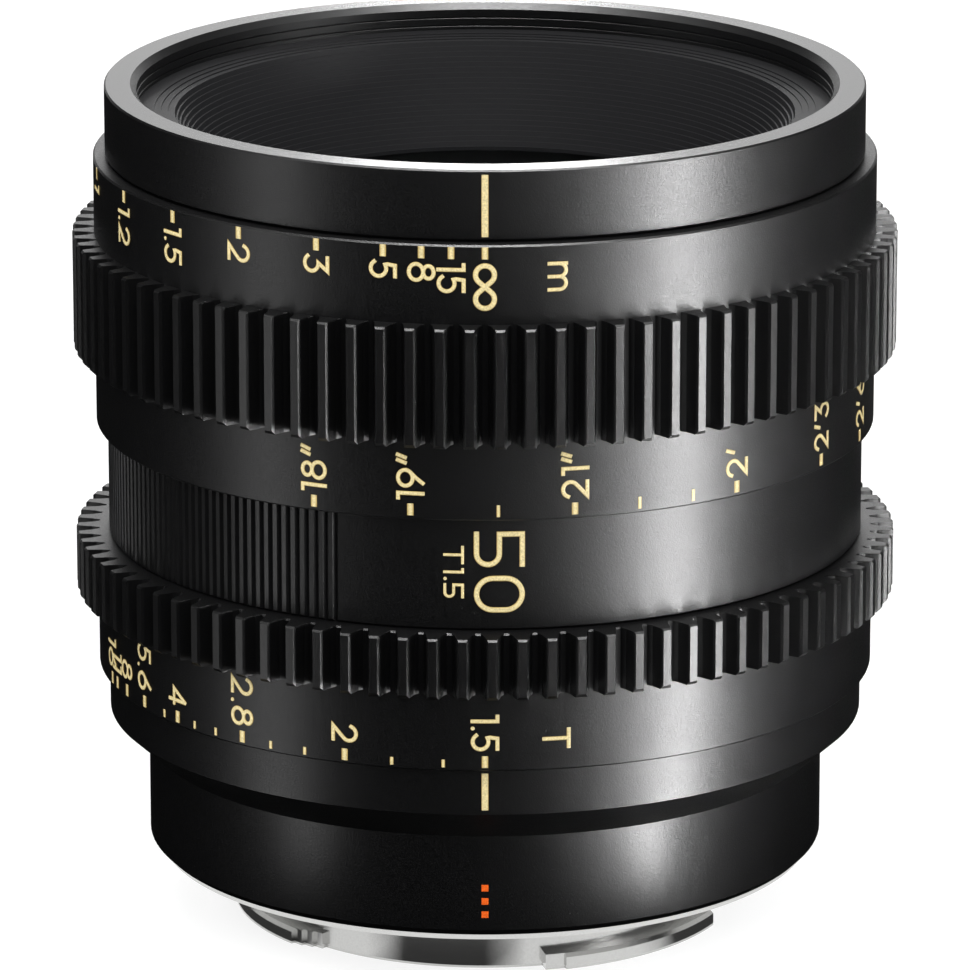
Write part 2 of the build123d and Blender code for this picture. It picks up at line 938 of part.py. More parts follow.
pivot_plate_top = pivot_seat + pivot_plate_thickness
front_seat = surface_height(first_back, front_radius)
front_rim = surface_height(first_front, front_radius)
third_flat = surface_height(third_back, third_clear)
fourth_flat = surface_height(fourth_front, fourth_clear)


def front_cell():
    lip_bottom = surface_height(second_front, second_lip_bore)
    lip_top = lip_bottom + second_lip_height
    thread_start = front_rim + front_seat_depth
    seat_bore = front_radius + glass_gap
    pair_bore = second_radius + glass_gap
    return turned(
        (pair_bore, pivot_plate_top),
        (pivot_bore - glass_gap, pivot_plate_top),
        (pivot_bore - glass_gap, carrier_top),
        (front_cell_flange, carrier_top),
        (front_cell_flange, carrier_top + front_cell_flange_height),
        (front_cell_bore, carrier_top + front_cell_flange_height),
        (front_cell_bore, thread_start),
        (seat_bore, thread_start),
        (seat_bore, front_seat),
        (pair_bore + loose_gap, front_seat),
        (second_lip_bore, lip_top),
        (second_lip_bore, lip_bottom),
        (pair_bore, lip_bottom),
    )


def front_retaining_ring():
    bottom = surface_height(first_front, retaining_inner)
    top = bottom + retaining_height
    return turned(
        (retaining_inner, bottom),
        (front_cell_bore, bottom),
        (front_cell_bore, top),
        (retaining_inner + retaining_flare, top),
    )


def inner_retaining_ring():
    return tube(second_radius, inner_ring_bore, pivot_plate_top, third_flat)


def rear_cell():
    pair_bore = iris_side_radius + glass_gap
    wide_bore = rear_radius + glass_gap
    cell_top = rotor_seat - rear_cell_top_inset
    nose_top = fourth_flat + nose_lip_height
    step = surface_height(fifth_back, spacer_inner) - spacer_shoulder_gap
    thread_top = surface_height(seventh_back, rear_radius)
    flange_bottom = carrier_bottom - rear_cell_flange_height
    return turned(
        (rear_ring_radius, rear_cell_bottom),
        (rear_cell_radius, rear_cell_bottom),
        (rear_cell_radius, flange_bottom),
        (rear_cell_flange, flange_bottom),
        (rear_cell_flange, carrier_bottom),
        (carrier_rear_bore, carrier_bottom),
        (carrier_rear_bore, cell_top),
        (nose_radius, cell_top),
        (nose_radius, nose_top),
        (nose_lip_bore, nose_top),
        (nose_lip_bore, fourth_flat),
        (pair_bore, fourth_flat),
        (pair_bore, step),
        (wide_bore, step),
        (wide_bore, thread_top),
        (rear_ring_radius, thread_top),
    )


def spacer_ring():
    bottom = surface_height(sixth_front, spacer_inner)
    top = surface_height(fifth_back, spacer_inner)
    step = top - spacer_shoulder_gap
    return turned(
        (spacer_inner, bottom),
        (rear_radius, bottom),
        (rear_radius, step),
        (iris_side_radius, step),
        (iris_side_radius, top),
        (spacer_inner, top),
    )


def rear_spacer_ring():
    bottom = surface_height(seventh_front, rear_spacer_inner)
    top = surface_height(sixth_back, rear_spacer_inner)
    return tube(rear_radius, rear_spacer_inner, bottom, top)


def rear_retaining_ring():
    top = surface_height(seventh_back, rear_spacer_inner)
    return tube(rear_ring_radius, rear_spacer_inner, rear_cell_bottom, top)


# Iris


def polar(radius, angle):
    return radius * cos(radians(angle)), radius * sin(radians(angle))


def blade_angle(index):
    return 360 * index / blade_count


def iris_pivot_plate():
    """Fixed plate above the blades, with a hole for each blade's pivot."""
    holes = [
        Pos(*polar(pivot_circle, blade_angle(index))) * Circle(pivot_stud_radius + pivot_hole_gap)
        for index in range(blade_count)
    ]
    section = Circle(pivot_bore - glass_gap) - Circle(pivot_plate_bore) - holes
    return Pos(0, 0, pivot_seat) * extrude(section, pivot_plate_thickness)


def drive_point(turn):
    """Place of a drive stud beside a pivot on the +X side, after the ring's turn in degrees."""
    angle = drive_lead + blade_travel * turn / iris_travel
    across, along = polar(drive_reach, angle)
    return pivot_circle + across, along


def cam_slot(index):
    """Cam slot in the rotor: the stud's path as the rotor sees it, widened to a slot."""
    half_width = drive_stud_radius + drive_slot_gap
    path = []
    for step in range(slot_path_steps + 1):
        turn = iris_travel * step / slot_path_steps
        x, y = drive_point(turn)
        path.append(polar(hypot(x, y), degrees(atan2(y, x)) - turn))
    route = Spline(*path)
    sides = {1: [], -1: []}
    for step in range(slot_path_steps + 1):
        share = step / slot_path_steps
        point = route @ share
        tangent = route % share
        for side, points in sides.items():
            points.append((point.X - side * half_width * tangent.Y,
                           point.Y + side * half_width * tangent.X))
    end_tip = route @ 1 + (route % 1) * half_width
    start_tip = route @ 0 - (route % 0) * half_width
    edges = [
        Spline(*sides[1]),
        ThreePointArc(sides[1][-1], (end_tip.X, end_tip.Y), sides[-1][-1]),
        Spline(*reversed(sides[-1])),
        ThreePointArc(sides[-1][0], (start_tip.X, start_tip.Y), sides[1][0]),
    ]
    return Rot(0, 0, blade_angle(index)) * make_face(edges)


def iris_rotor():
    """Thin ring that turns with the iris ring and swings the blades by their drive studs."""
    fork_width = bar_width + 2 * fork_prong
    fork = Pos((rotor_outer - loose_gap + fork_radius) / 2, 0) * Rectangle(
        fork_radius - rotor_outer + loose_gap, fork_width
    )
    mouth = Pos((fork_root + fork_radius + overrun) / 2, 0) * Rectangle(
        fork_radius + overrun - fork_root, bar_width + 2 * fork_gap
    )
    section = Circle(rotor_outer) + Rot(0, 0, drive_rest_angle) * (fork - mouth)
    section -= Circle(rotor_inner)
    section -= [cam_slot(index) for index in range(blade_count)]
    return Pos(0, 0, rotor_bottom) * extrude(section, rotor_thickness)


def link(start, end, start_radius, end_radius):
    """Flat link between two round ears."""
    (x0, y0), (x1, y1) = start, end
    length = hypot(x1 - x0, y1 - y0)
    across_x = (y1 - y0) / length
    across_y = (x0 - x1) / length
    corners = [
        (x0 + start_radius * across_x, y0 + start_radius * across_y),
        (x1 + end_radius * across_x, y1 + end_radius * across_y),
        (x1 - end_radius * across_x, y1 - end_radius * across_y),
        (x0 - start_radius * across_x, y0 - start_radius * across_y),
    ]
    return Polygon(*corners, align=None) + Pos(x0, y0) * Circle(start_radius) + Pos(
        x1, y1
    ) * Circle(end_radius)


def iris_blade(index):
    """Crescent blade with a pivot stud up and a drive stud down, each on its own level."""
    level = blade_start + index * blade_pitch
    pivot = (pivot_circle, 0)
    drive = drive_point(0)
    root = (blade_outer - pivot_ear_radius, 0)
    crescent = sector(
        blade_outer, open_aperture, level, level + blade_thickness, -blade_tail,
        blade_span + blade_tail,
    )
    ears = link(root, pivot, pivot_ear_radius, pivot_ear_radius)
    ears += link(pivot, drive, pivot_ear_radius, drive_ear_radius)
    solid = crescent + Pos(0, 0, level) * extrude(ears, blade_thickness)
    pivot_top = pivot_plate_top - washer_gap
    solid += axial_pin(pivot_stud_radius, level, pivot_top, 0, pivot_circle)
    stud_angle = degrees(atan2(drive[1], drive[0]))
    stud_top = level + blade_thickness
    solid += axial_pin(drive_stud_radius, rotor_bottom, stud_top, stud_angle, hypot(*drive))
    return Rot(0, 0, blade_angle(index)) * solid


pieces = {
    "bayonet_mount": bayonet_mount(),
    "mount_screws": mount_screws(),
    "rear_light_baffle": rear_light_baffle(),
    "mount_shell": mount_shell(),
    "mount_index_squares": index_square_shapes(),
    "shell_screws": shell_screws(),
    "rear_barrel": rear_barrel(),
    "rear_index_line": rear_index_line(),
    "guide_barrel": guide_barrel(),
    "mid_barrel": mid_barrel(),
    "front_ring": front_ring(),
    "front_index_line": front_index_line(),
    "hood_baffle": hood_baffle(),
    "front_slip_washer": front_slip_washer(),
    "rear_slip_washer": rear_slip_washer(),
    "iris_slip_washer": iris_slip_washer(),
    "focus_stop_screw": stop_screw(focus_stop_angle, focus_stop_height),
    "iris_stop_screw": stop_screw(iris_stop_angle, iris_stop_height),
    "focus_ring": focus_ring(),
    "focus_cam_sleeve": focus_cam_sleeve(),
    "focus_lock_screws": lock_screw_shapes(),
    "iris_ring": iris_ring(),
    "iris_drive_bar": iris_drive_bar(),
    "lens_carrier": lens_carrier(),
    "guide_collars": guide_collars(),
    "cam_collars": cam_collars(),
    "collar_screws": collar_screws(),
    "front_cell": front_cell(),
    "front_retaining_ring": front_retaining_ring(),
    "front_element": front_element(),
    "second_element": second_element(),
    "third_element": third_element(),
    "inner_retaining_ring": inner_retaining_ring(),
    "rear_cell": rear_cell(),
    "fourth_element": fourth_element(),
    "fifth_element": fifth_element(),
    "spacer_ring": spacer_ring(),
    "sixth_element": sixth_element(),
    "rear_spacer_ring": rear_spacer_ring(),
    "seventh_element": seventh_element(),
    "rear_retaining_ring": rear_retaining_ring(),
    "iris_pivot_plate": iris_pivot_plate(),
    "iris_rotor": iris_rotor(),
}
for index in range(blade_count):
    pieces[f"iris_blade_{index + 1}"] = iris_blade(index)

for name, shape in pieces.items():
    solids = shape if isinstance(shape, list) else [shape]
    solids = [solid for item in solids for solid in item.solids()]
    export_step(Compound(children=solids) if len(solids) > 1 else solids[0], f"parts/{name}.step")

print("lens group travel", round(group_travel, 3), "mm for a focus turn of", round(focus_travel, 2))
print("blade angles", [round(blade_angle(index), 3) for index in range(blade_count)])
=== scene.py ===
import math
import bpy
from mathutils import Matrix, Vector


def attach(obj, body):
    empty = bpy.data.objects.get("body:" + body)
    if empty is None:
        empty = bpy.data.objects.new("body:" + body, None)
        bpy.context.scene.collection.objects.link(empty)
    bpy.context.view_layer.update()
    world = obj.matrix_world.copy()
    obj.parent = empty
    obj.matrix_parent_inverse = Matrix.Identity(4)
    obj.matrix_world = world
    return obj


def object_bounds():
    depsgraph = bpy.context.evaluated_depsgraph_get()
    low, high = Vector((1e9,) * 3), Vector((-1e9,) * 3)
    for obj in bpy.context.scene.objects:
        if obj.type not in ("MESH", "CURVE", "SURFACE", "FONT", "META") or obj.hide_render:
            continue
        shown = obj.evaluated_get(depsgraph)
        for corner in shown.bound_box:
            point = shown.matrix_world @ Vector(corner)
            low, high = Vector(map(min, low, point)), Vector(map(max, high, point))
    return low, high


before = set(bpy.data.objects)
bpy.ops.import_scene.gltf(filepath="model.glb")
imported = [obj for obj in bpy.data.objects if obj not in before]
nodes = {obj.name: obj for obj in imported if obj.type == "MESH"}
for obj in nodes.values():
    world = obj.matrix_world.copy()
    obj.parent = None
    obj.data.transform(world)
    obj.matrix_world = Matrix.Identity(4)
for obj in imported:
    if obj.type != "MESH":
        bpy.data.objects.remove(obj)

cad_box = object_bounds()
MM = 0.001


# Studio: a pale floor and a white surround, with black cards that only reflections see.
# Narrow strips, lying on the floor and standing, give black metal its two upright highlights.
# The camera stands 693 mm away and 16 degrees above, as in the photograph.

FLOOR_HEIGHT = cad_box[0][2]
FLOOR_SIZE = 6.0
CAMERA_AIM = Vector((0, 0, 32.59 * MM))
CAMERA_DISTANCE = 693.16 * MM
CAMERA_RISE = math.radians(16.1)
CAMERA_LENS = 288.68
BACKGROUND = (1.0, 1.0, 1.0, 1.0)
PAPER = (0.3, 0.3, 0.3, 1.0)
PAPER_GLOW = 0.78
CARD_BLACK = (0.004, 0.004, 0.004, 1.0)
FILL_STRENGTH = 0.03
CARD_HOLE = 29.2 * MM
CARD_HEIGHT = 0.45 * MM
CARD_LIFT = 0.2 * MM
CARD_SIDES = 144
BARREL_WALL = 33.5 * MM
BARREL_REACH = (11 * MM, 600 * MM)
TUBE_WALL = 21 * MM
TUBE_REACH = (0, 13 * MM)
# Round the tube a dark card has two white openings, a narrow one left and a wide one right.
CARD_SHADE = 0.05
OPEN_SHADE = 1.0
TUBE_SHADES = (
    (-75, CARD_SHADE), (-45, CARD_SHADE), (-40, OPEN_SHADE), (-30, OPEN_SHADE),
    (-20, CARD_SHADE), (0, CARD_SHADE), (10, OPEN_SHADE), (35, OPEN_SHADE),
    (45, CARD_SHADE), (75, CARD_SHADE),
)
RIGHT_SHADES = (
    (12, 0.0), (20, 2.5), (26, 7.0), (28.4, 14.0), (28.6, 76.0), (29.4, 86.0), (30.2, 86.0),
    (31, 76.0),
)
LEFT_SHADES = ((-37, 2.4), (-35, 2.4), (-33, 2.4), (-31, 2.4), (-29, 2.4))
# Angle, rise, distance, width, height and power of each lamp that only gloss sees.
GLOSS_LAMPS = {
    "right_strip": (60, 3.5, 0.75, 0.08, 0.16, 4.4),
    "left_strip": (-66, 3.5, 0.75, 0.16, 0.16, 0.5),
    "top_panel": (0, 80, 0.8, 0.4, 0.2, 9.0),
    "rim_panel": (180, 21.3, 0.413, 0.032, 0.026, 0.05),
    "land_panel": (180, 13, 0.9, 0.6, 0.25, 0.25),
}
# Angle, rise and power of each lamp for plain colour.
FILL_LAMPS = ((5, 35, 13.0), (-85, 25, 9.0), (90, 25, 9.0), (180, 30, 9.0), (0, 88, 5.0))
FILL_DISTANCE = 1.1
FILL_SIZE = 1.0
FLAG_RADIUS = 1.3
FLAG_HEIGHT = 1.6
FLAG_OPENING = 24


def around(side_angle, radius, height):
    """A point at an angle round from the camera's side, positive to its right."""
    turn = math.radians(side_angle)
    return (radius * math.sin(turn), -radius * math.cos(turn), height)


def light_path_mix(tree, seen, hidden):
    """Shows one shader to camera, glossy and transmission rays and another to the rest."""
    path = tree.nodes.new("ShaderNodeLightPath")
    first = tree.nodes.new("ShaderNodeMath")
    first.operation = "MAXIMUM"
    second = tree.nodes.new("ShaderNodeMath")
    second.operation = "MAXIMUM"
    mix = tree.nodes.new("ShaderNodeMixShader")
    tree.links.new(path.outputs["Is Camera Ray"], first.inputs[0])
    tree.links.new(path.outputs["Is Glossy Ray"], first.inputs[1])
    tree.links.new(first.outputs[0], second.inputs[0])
    tree.links.new(path.outputs["Is Transmission Ray"], second.inputs[1])
    tree.links.new(second.outputs[0], mix.inputs[0])
    tree.links.new(hidden, mix.inputs[1])
    tree.links.new(seen, mix.inputs[2])
    return mix.outputs[0]


def make_world():
    world = bpy.data.worlds.new("surround")
    world.use_nodes = True
    tree = world.node_tree
    seen = tree.nodes["Background"]
    seen.inputs["Color"].default_value = BACKGROUND
    seen.inputs["Strength"].default_value = 1.0
    fill = tree.nodes.new("ShaderNodeBackground")
    fill.inputs["Color"].default_value = BACKGROUND
    fill.inputs["Strength"].default_value = FILL_STRENGTH
    out = light_path_mix(tree, seen.outputs[0], fill.outputs[0])
    tree.links.new(out, tree.nodes["World Output"].inputs[0])
    bpy.context.scene.world = world


def stage_piece(name, corners, faces, material):
    mesh = bpy.data.meshes.new(name)
    mesh.from_pydata(corners, [], faces)
    mesh.materials.append(material)
    placed = bpy.data.objects.new(name, mesh)
    bpy.context.collection.objects.link(placed)
    return placed


def only_reflected(card):
    """Hides a card from all but glossy rays."""
    card.visible_camera = False
    card.visible_diffuse = False
    card.visible_transmission = False
    card.visible_shadow = False


def make_floor():
    material = bpy.data.materials.new("floor_paper")
    material.use_nodes = True
    tree = material.node_tree
    tree.nodes.remove(tree.nodes["Principled BSDF"])
    paper = tree.nodes.new("ShaderNodeBsdfDiffuse")
    paper.inputs["Color"].default_value = PAPER
    glow = tree.nodes.new("ShaderNodeEmission")
    glow.inputs["Color"].default_value = BACKGROUND
    glow.inputs["Strength"].default_value = PAPER_GLOW
    seen = tree.nodes.new("ShaderNodeAddShader")
    tree.links.new(paper.outputs[0], seen.inputs[0])
    tree.links.new(glow.outputs[0], seen.inputs[1])
    out = light_path_mix(tree, seen.outputs[0], paper.outputs[0])
    tree.links.new(out, tree.nodes["Material Output"].inputs[0])
    half = FLOOR_SIZE / 2
    corners = [
        (x, y, FLOOR_HEIGHT)
        for x, y in ((-half, -half), (half, -half), (half, half), (-half, half))
    ]
    stage_piece("floor", corners, [(0, 1, 2, 3)], material)


def make_black_cards():
    """A low card round the foot of the shell, and a tall screen that is open at the back."""
    material = bpy.data.materials.new("black_card")
    material.use_nodes = True
    shader = material.node_tree.nodes["Principled BSDF"]
    shader.inputs["Base Color"].default_value = CARD_BLACK
    shader.inputs["Roughness"].default_value = 1.0
    shader.inputs["Specular IOR Level"].default_value = 0.0
    floor_corners = []
    for step in range(CARD_SIDES):
        side_angle = 360 * step / CARD_SIDES
        floor_corners.append(around(side_angle, CARD_HOLE, CARD_HEIGHT))
        floor_corners.append(around(side_angle, FLAG_RADIUS, CARD_HEIGHT))
    count = len(floor_corners)
    floor_faces = [(i, i + 1, (i + 3) % count, (i + 2) % count) for i in range(0, count, 2)]
    screen_corners = []
    for step in range(CARD_SIDES + 1):
        side_angle = (360 - 2 * FLAG_OPENING) * (step / CARD_SIDES - 0.5)
        screen_corners.append(around(side_angle, FLAG_RADIUS, FLOOR_HEIGHT))
        screen_corners.append(around(side_angle, FLAG_RADIUS, FLAG_HEIGHT))
    screen_faces = [(i, i + 1, i + 3, i + 2) for i in range(0, 2 * CARD_SIDES, 2)]
    only_reflected(stage_piece("floor_card", floor_corners, floor_faces, material))
    only_reflected(stage_piece("screen_card", screen_corners, screen_faces, material))


def make_patch(name, height, wall, reach, shades):
    """A low patch that an upright wall mirrors to the camera, with a shade for each angle."""
    material = bpy.data.materials.new(name)
    material.use_nodes = True
    tree = material.node_tree
    shader = tree.nodes["Principled BSDF"]
    shader.inputs["Base Color"].default_value = (0, 0, 0, 1)
    shader.inputs["Specular IOR Level"].default_value = 0.0
    shader.inputs["Emission Color"].default_value = BACKGROUND
    shade = tree.nodes.new("ShaderNodeAttribute")
    shade.attribute_name = "shade"
    tree.links.new(shade.outputs["Fac"], shader.inputs["Emission Strength"])
    corners = []
    for side_angle, _ in shades:
        wall_x, wall_y, _ = around(side_angle, wall, height)
        for distance in reach:
            x, y, _ = around(2 * side_angle, distance, height)
            corners.append((wall_x + x, wall_y + y, height))
    faces = [(i, i + 1, i + 3, i + 2) for i in range(0, 2 * len(shades) - 2, 2)]
    patch = stage_piece(name, corners, faces, material)
    amounts = [amount for _, amount in shades for _ in reach]
    patch.data.attributes.new("shade", "FLOAT", "POINT").data.foreach_set("value", amounts)
    only_reflected(patch)


def soft_box(name, side_angle, rise, distance, width, height, power, glossy):
    """An area lamp aimed at the lens, which lights either its gloss or its plain colour."""
    lamp = bpy.data.lights.new(name, "AREA")
    lamp.shape = "RECTANGLE"
    lamp.size = width
    lamp.size_y = height
    lamp.energy = power
    box = bpy.data.objects.new(name, lamp)
    bpy.context.collection.objects.link(box)
    lift = math.radians(rise)
    away = Vector(around(side_angle, math.cos(lift), math.sin(lift)))
    box.location = CAMERA_AIM + away * distance
    box.rotation_euler = away.to_track_quat("Z", "Y").to_euler()
    box.visible_diffuse = not glossy
    box.visible_glossy = glossy


def make_camera():
    data = bpy.data.cameras.new("camera")
    data.lens = CAMERA_LENS
    data.clip_start = 10 * MM
    camera = bpy.data.objects.new("camera", data)
    away = Vector((0, -math.cos(CAMERA_RISE), math.sin(CAMERA_RISE)))
    camera.location = CAMERA_AIM + away * CAMERA_DISTANCE
    camera.rotation_euler = away.to_track_quat("Z", "Y").to_euler()
    bpy.context.collection.objects.link(camera)
    bpy.context.scene.camera = camera


make_world()
make_floor()
make_black_cards()
make_camera()
strip_height = CARD_HEIGHT + CARD_LIFT
tube_height = FLOOR_HEIGHT + CARD_LIFT
make_patch("right_floor_strip", strip_height, BARREL_WALL, BARREL_REACH, RIGHT_SHADES)
make_patch("left_floor_strip", strip_height, BARREL_WALL, BARREL_REACH, LEFT_SHADES)
make_patch("tube_patch", tube_height, TUBE_WALL, TUBE_REACH, TUBE_SHADES)
for lamp_name, (side_angle, rise, distance, width, height, power) in GLOSS_LAMPS.items():
    soft_box(lamp_name, side_angle, rise, distance, width, height, power, glossy=True)
for side_angle, rise, power in FILL_LAMPS:
    fill_name = f"fill_{side_angle}"
    soft_box(fill_name, side_angle, rise, FILL_DISTANCE, FILL_SIZE, FILL_SIZE, power, glossy=False)
bpy.context.scene.view_settings.view_transform = "Standard"


# Bayonet mount: turned brass with hard chrome, held by four countersunk steel screws
# that enter from the rear. The light baffle behind the glass is blackened aluminium,
# pressed into the tube.

CHROME = (0.56, 0.56, 0.55)
STEEL = (0.5, 0.5, 0.5)
BAFFLE_BLACK = (0.010, 0.010, 0.011)
GRAIN_BUMP = 0.05 * MM
GRAIN_LOW = 0.3
GRAIN_HIGH = 0.7


def make_blasted_grain():
    """Fine blasted grain: a normal, and a mask that varies the gloss."""
    group = bpy.data.node_groups.new("blasted_grain", "ShaderNodeTree")
    group.interface.new_socket("Grains per mm", in_out="INPUT", socket_type="NodeSocketFloat")
    group.interface.new_socket("Strength", in_out="INPUT", socket_type="NodeSocketFloat")
    group.interface.new_socket("Normal", in_out="OUTPUT", socket_type="NodeSocketVector")
    group.interface.new_socket("Mask", in_out="OUTPUT", socket_type="NodeSocketFloat")
    inner = group.nodes.new("NodeGroupInput")
    out = group.nodes.new("NodeGroupOutput")
    place = group.nodes.new("ShaderNodeTexCoord")
    scale = group.nodes.new("ShaderNodeMath")
    scale.operation = "DIVIDE"
    scale.inputs[1].default_value = MM
    noise = group.nodes.new("ShaderNodeTexNoise")
    noise.inputs["Detail"].default_value = 2.0
    noise.inputs["Roughness"].default_value = 0.6
    bump = group.nodes.new("ShaderNodeBump")
    bump.inputs["Distance"].default_value = GRAIN_BUMP
    group.links.new(inner.outputs["Grains per mm"], scale.inputs[0])
    group.links.new(place.outputs["Object"], noise.inputs["Vector"])
    group.links.new(scale.outputs[0], noise.inputs["Scale"])
    group.links.new(noise.outputs["Fac"], bump.inputs["Height"])
    group.links.new(inner.outputs["Strength"], bump.inputs["Strength"])
    group.links.new(bump.outputs["Normal"], out.inputs["Normal"])
    group.links.new(noise.outputs["Fac"], out.inputs["Mask"])
    return group


blasted_grain = make_blasted_grain()


def map_grain(tree, grain, low, high):
    """Spreads the grain's mask between two values."""
    spread = tree.nodes.new("ShaderNodeMapRange")
    spread.inputs["From Min"].default_value = GRAIN_LOW
    spread.inputs["From Max"].default_value = GRAIN_HIGH
    spread.inputs["To Min"].default_value = low
    spread.inputs["To Max"].default_value = high
    tree.links.new(grain.outputs["Mask"], spread.inputs["Value"])
    return spread.outputs[0]


def make_finish(name, colour, metallic, roughness, grains, strength, specular=0.5, vary=0.2):
    """A metal or paint with a blasted grain in its shade, its gloss and its surface."""
    material = bpy.data.materials.new(name)
    material.use_nodes = True
    tree = material.node_tree
    shader = tree.nodes["Principled BSDF"]
    shader.inputs["Metallic"].default_value = metallic
    shader.inputs["Specular IOR Level"].default_value = specular
    grain = tree.nodes.new("ShaderNodeGroup")
    grain.node_tree = blasted_grain
    grain.inputs["Grains per mm"].default_value = grains
    grain.inputs["Strength"].default_value = strength
    tint = tree.nodes.new("ShaderNodeVectorMath")
    tint.operation = "SCALE"
    tint.inputs[0].default_value = colour
    tree.links.new(map_grain(tree, grain, 1 - vary, 1 + vary), tint.inputs["Scale"])
    gloss = map_grain(tree, grain, roughness * (1 - vary / 2), roughness * (1 + vary / 2))
    tree.links.new(gloss, shader.inputs["Roughness"])
    tree.links.new(tint.outputs[0], shader.inputs["Base Color"])
    tree.links.new(grain.outputs["Normal"], shader.inputs["Normal"])
    return material


def dress(material, *names):
    """Gives CAD pieces their finish."""
    for name in names:
        mesh = nodes[name].data
        mesh.materials.clear()
        mesh.materials.append(material)


turned_steel = make_finish("turned_steel", STEEL, 1.0, 0.3, 6.0, 0.1)
baffle_black = make_finish("baffle_black", BAFFLE_BLACK, 0.0, 0.5, 8.0, 0.2, specular=0.25)
dress(make_finish("hard_chrome", CHROME, 1.0, 0.17, 5.0, 0.004, vary=0.03), "bayonet_mount")
dress(turned_steel, "mount_screws")
dress(baffle_black, "rear_light_baffle")


# Mount shell and rear barrel: aluminium turned and blasted, then anodised satin black.
# The index squares and lines are engraved and filled with orange or gold paint, and three
# steel screws pull the shell and the barrel against the guide barrel's floor.

ANODISED = (0.0026, 0.0026, 0.0028)
ORANGE = (0.86, 0.12, 0.004)
GOLD = (0.77, 0.65, 0.34)
# The darker gold is painted shade for the edges of the engraved grooves.
GOLD_SHADE = (0.40, 0.27, 0.07)
ANODISED_ROUGHNESS = 0.38
ANODISED_GRAINS = 8.0
ANODISED_DEPTH = 0.3
ANODISED_VARY = 0.5
INDEX_HALF_WIDTH = 0.3 * MM
# Share of the index line's half width past which its gold is painted in shade.
INDEX_SHADE_SHARE = 0.7


def make_anodised(name):
    """Satin black anodising over a fine blasted grain."""
    return make_finish(
        name, ANODISED, 0.0, ANODISED_ROUGHNESS, ANODISED_GRAINS, ANODISED_DEPTH,
        vary=ANODISED_VARY,
    )


anodised_black = make_anodised("anodised_black")


def make_edge_shaded_gold(name, shade_edge_of):
    """Cream gold paint with a darker tone painted at the edges of its groove as painted shade."""
    material = make_finish(name, GOLD, 0.0, 0.4, 6.0, 0.05, vary=0.22)
    tree = material.node_tree
    shader = tree.nodes["Principled BSDF"]
    blend = tree.nodes.new("ShaderNodeMix")
    blend.data_type = "RGBA"
    colours = [socket for socket in blend.inputs if socket.type == "RGBA"]
    # Mixes in the darker gold as painted shade towards the groove's edges.
    tree.links.new(shade_edge_of(tree), blend.inputs[0])
    tree.links.new(shader.inputs["Base Color"].links[0].from_socket, colours[0])
    colours[1].default_value = (*GOLD_SHADE, 1)
    result = [socket for socket in blend.outputs if socket.type == "RGBA"][0]
    tree.links.new(result, shader.inputs["Base Color"])
    return material


def index_shade_edge(tree):
    """How near a point of an index line is to the line's edge, where its gold is painted in shade.
    """
    place = tree.nodes.new("ShaderNodeTexCoord")
    split = tree.nodes.new("ShaderNodeSeparateXYZ")
    side = tree.nodes.new("ShaderNodeMath")
    side.operation = "ABSOLUTE"
    spread = tree.nodes.new("ShaderNodeMapRange")
    spread.inputs["From Min"].default_value = INDEX_HALF_WIDTH * INDEX_SHADE_SHARE
    spread.inputs["From Max"].default_value = INDEX_HALF_WIDTH
    tree.links.new(place.outputs["Object"], split.inputs[0])
    tree.links.new(split.outputs["X"], side.inputs[0])
    tree.links.new(side.outputs[0], spread.inputs["Value"])
    return spread.outputs[0]


index_gold = make_edge_shaded_gold("index_gold", index_shade_edge)
dress(anodised_black, "mount_shell", "rear_barrel")
dress(make_finish("index_orange", ORANGE, 0.0, 0.4, 6.0, 0.05), "mount_index_squares")
dress(index_gold, "rear_index_line")
dress(turned_steel, "shell_screws")


# Guide barrel: the fixed backbone, turned from aluminium and anodised matt black.
# Two steel stop screws stand in it, and slip washers of white plastic run at both ends
# of the focus ring and below the iris ring.

INNER_BLACK = (0.012, 0.012, 0.013)
WASHER_WHITE = (0.8, 0.8, 0.78)

inner_black = make_finish("inner_black", INNER_BLACK, 0.0, 0.45, 8.0, 0.2, specular=0.4)
dress(inner_black, "guide_barrel")
dress(turned_steel, "focus_stop_screw", "iris_stop_screw")
dress(
    make_finish("washer_white", WASHER_WHITE, 0.0, 0.45, 6.0, 0.1),
    "front_slip_washer", "rear_slip_washer", "iris_slip_washer",
)


# Iris ring: black anodised aluminium with a 0.8 module gear, and a steel bar keyed into it
# that drives the blades. Its stop scale is engraved and filled with gold paint, and stands
# twice round the ring, once for each index line.

RING_RADIUS = 34.49
PAINT_DEPTH = 0.06
PAINT_RISE = 0.02
PAINT_LAYER = 0.002
PAINT_CROWN = 0.03
STEP_LENGTH = 0.45
STROKE_JOIN = 0.0001
ARC_STEP = 12
LETTER_GAP = 0.28
MITRE_LIMIT = 0.15
STROKE_COLUMNS = (-0.5, -0.28, 0.28, 0.5)
INFINITY_LOOP = 0.5
INFINITY_CENTRE = 0.66
NUMERAL_HEIGHT = 2.47
NUMERAL_STROKE = 0.36
TICK_WIDTH = 0.56
TICK_LENGTH = 1.04
# Share of a tick's width, from its middle, past which its gold is painted in shade.
TICK_SHADE_SHARE = 0.4
MINOR_WIDTH = 0.55
STOP_TICK_BOTTOM = 17.4
STOP_TEXT_BOTTOM = 18.88
STOP_MINOR_LENGTH = 0.66
STOPS = {
    "16": -72.43, "11": -69.84, "8": -65.71, "5.6": -59.65, "4": -50.76, "2.8": -37.36,
    "2": -20.39, "1.5": 0.0,
}
STOP_MINORS = (-54.05, -46.87, -42.47, -32.31, -26.66, -13.37, -5.94)
STOP_LETTER = ("T", 10.2, 20.8)
STOP_LETTER_SQUEEZE = 0.78
BAR_STEEL = (0.4, 0.4, 0.41)


